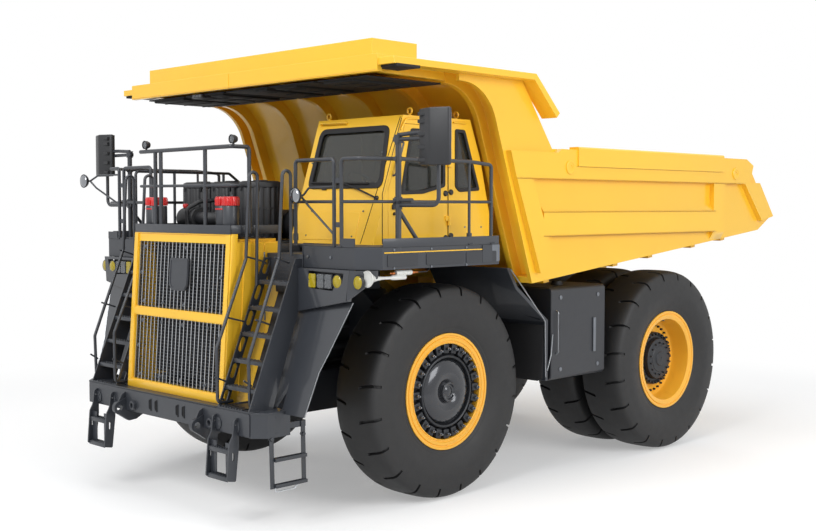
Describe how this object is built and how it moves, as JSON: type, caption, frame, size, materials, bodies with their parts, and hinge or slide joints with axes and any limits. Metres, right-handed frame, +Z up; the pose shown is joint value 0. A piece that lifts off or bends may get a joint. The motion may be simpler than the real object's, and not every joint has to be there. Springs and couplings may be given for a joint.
{
  "type": "mining dump truck",
  "caption": "Rigid-frame mining dump truck with a canopied tipping bed, side cab, dual rear tyres, steered front wheels and twin two-stage hoists.",
  "frame": {"origin": "on the ground under the middle of the whole truck", "axes": "+X to the truck's left, +Y towards the rear, +Z up"},
  "size_m": [7.28, 10.333, 5.59],
  "materials": {
    "yellow_paint": "semi-gloss",
    "dark_paint": "satin",
    "tyre_rubber": "matte",
    "bright_steel": "satin",
    "bright_chrome": "polished",
    "black_plastic": "matte",
    "engine_iron": "satin",
    "tinted_glass": "polished",
    "lamp_glass": "polished",
    "seat_cloth": "matte",
    "red_plastic": "gloss",
    "white_paint": "gloss"
  },
  "bodies": {
    "chassis": {"frame": "dark_paint", "front_collar": "dark_paint", "front_bumper": "dark_paint", "tow_eyes": "dark_paint", "boarding_steps": "dark_paint", "boarding_ladders": "dark_paint", "hood": "yellow_paint", "radiator_grille": "bright_steel", "radiator": "black_plastic", "engine": "engine_iron", "driveline": "engine_iron", "deck": "dark_paint", "deck_supports": "dark_paint", "handrails": "dark_paint", "mirrors": "black_plastic", "cab_shell": "yellow_paint", "cab_glass": "tinted_glass", "cab_seat": "seat_cloth", "cab_controls": "black_plastic", "air_cleaners": "black_plastic", "accumulators": "dark_paint", "accumulator_caps": "red_plastic", "lamps": "lamp_glass", "horn": "white_paint", "mudguards": "dark_paint", "fuel_tank": "dark_paint", "hydraulic_tank": "dark_paint", "front_struts": "dark_paint", "rear_axle": "dark_paint", "rear_suspension": "dark_paint"},
    "knuckle_left": {"knuckle_left": "dark_paint"},
    "wheel_front_left": {"tyre_front_left": "tyre_rubber", "rim_front_left": "yellow_paint", "hub_front_left": "dark_paint"},
    "wheel_rear_left": {"tyres_rear_left": "tyre_rubber", "rims_rear_left": "yellow_paint", "final_drive_left": "dark_paint"},
    "hoist_barrel_left": {"hoist_barrel_left": "dark_paint"},
    "hoist_sleeve_left": {"hoist_sleeve_left": "bright_chrome"},
    "hoist_rod_left": {"hoist_rod_left": "bright_chrome"},
    "knuckle_right": {"knuckle_right": "dark_paint"},
    "wheel_front_right": {"tyre_front_right": "tyre_rubber", "rim_front_right": "yellow_paint", "hub_front_right": "dark_paint"},
    "wheel_rear_right": {"tyres_rear_right": "tyre_rubber", "rims_rear_right": "yellow_paint", "final_drive_right": "dark_paint"},
    "hoist_barrel_right": {"hoist_barrel_right": "dark_paint"},
    "hoist_sleeve_right": {"hoist_sleeve_right": "bright_chrome"},
    "hoist_rod_right": {"hoist_rod_right": "bright_chrome"},
    "tie_rod": {"tie_rod": "dark_paint"},
    "dump_bed": {"bed_floor": "yellow_paint", "bed_side_left": "yellow_paint", "bed_side_right": "yellow_paint", "bed_front_wall": "yellow_paint", "bed_canopy": "yellow_paint", "bed_underframe": "yellow_paint"},
    "cab_door": {"cab_door": "yellow_paint", "door_glass": "tinted_glass"}
  },
  "joints": [
    {"name": "steer_left", "type": "hinge", "parent": "chassis", "child": "knuckle_left", "pos_m": [1.33, -2.2885, 1.345], "axis": [0, 0, 1], "range_deg": [-35, 35]},
    {"name": "spin_front_left", "type": "hinge", "parent": "knuckle_left", "child": "wheel_front_left", "pos_m": [1.952, -2.2885, 1.345], "axis": [1, 0, 0], "continuous": true},
    {"name": "spin_rear_left", "type": "hinge", "parent": "chassis", "child": "wheel_rear_left", "pos_m": [2.205, 2.2915, 1.345], "axis": [1, 0, 0], "continuous": true},
    {"name": "steer_right", "type": "hinge", "parent": "chassis", "child": "knuckle_right", "pos_m": [-1.33, -2.2885, 1.345], "axis": [0, 0, 1], "range_deg": [-35, 35]},
    {"name": "spin_front_right", "type": "hinge", "parent": "knuckle_right", "child": "wheel_front_right", "pos_m": [-1.952, -2.2885, 1.345], "axis": [1, 0, 0], "continuous": true},
    {"name": "spin_rear_right", "type": "hinge", "parent": "chassis", "child": "wheel_rear_right", "pos_m": [-2.205, 2.2915, 1.345], "axis": [1, 0, 0], "continuous": true},
    {"name": "tie_rod_pivot", "type": "hinge", "parent": "knuckle_left", "child": "tie_rod", "pos_m": [1.33, -1.8085, 0.93], "axis": [0, 0, 1], "range_deg": [-35, 35]},
    {"name": "dump", "type": "hinge", "parent": "chassis", "child": "dump_bed", "pos_m": [0, 3.1115, 2.56], "axis": [-1, 0, 0], "range_deg": [0, 45]},
    {"name": "hoist_tilt_left", "type": "hinge", "parent": "chassis", "child": "hoist_barrel_left", "pos_m": [0.822, 0.9115, 1.2], "axis": [-1, 0, 0], "range_deg": [0, 24]},
    {"name": "hoist_sleeve_slide_left", "type": "slide", "parent": "hoist_barrel_left", "child": "hoist_sleeve_left", "axis": [0, -0.2941, 0.9558], "range_m": [0, 0.94]},
    {"name": "hoist_rod_slide_left", "type": "slide", "parent": "hoist_sleeve_left", "child": "hoist_rod_left", "axis": [0, -0.2941, 0.9558], "range_m": [0, 0.94]},
    {"name": "hoist_tilt_right", "type": "hinge", "parent": "chassis", "child": "hoist_barrel_right", "pos_m": [-0.822, 0.9115, 1.2], "axis": [-1, 0, 0], "range_deg": [0, 24]},
    {"name": "hoist_sleeve_slide_right", "type": "slide", "parent": "hoist_barrel_right", "child": "hoist_sleeve_right", "axis": [0, -0.2941, 0.9558], "range_m": [0, 0.94]},
    {"name": "hoist_rod_slide_right", "type": "slide", "parent": "hoist_sleeve_right", "child": "hoist_rod_right", "axis": [0, -0.2941, 0.9558], "range_m": [0, 0.94]},
    {"name": "cab_door_hinge", "type": "hinge", "parent": "chassis", "child": "cab_door", "pos_m": [2.322, -2.3385, 3.9], "axis": [0, 0, 1], "range_deg": [0, 25]}
  ],
  "couplings": [
    {"joint": "steer_right", "follows": "steer_left", "ratio": 1},
    {"joint": "tie_rod_pivot", "follows": "steer_left", "ratio": -1},
    {"joint": "hoist_tilt_left", "follows": "dump", "ratio": 0.51},
    {"joint": "hoist_sleeve_slide_left", "follows": "dump", "m_per_rad": 1.1815},
    {"joint": "hoist_rod_slide_left", "follows": "dump", "m_per_rad": 1.1815},
    {"joint": "hoist_tilt_right", "follows": "dump", "ratio": 0.51},
    {"joint": "hoist_sleeve_slide_right", "follows": "dump", "m_per_rad": 1.1815},
    {"joint": "hoist_rod_slide_right", "follows": "dump", "m_per_rad": 1.1815}
  ]
}
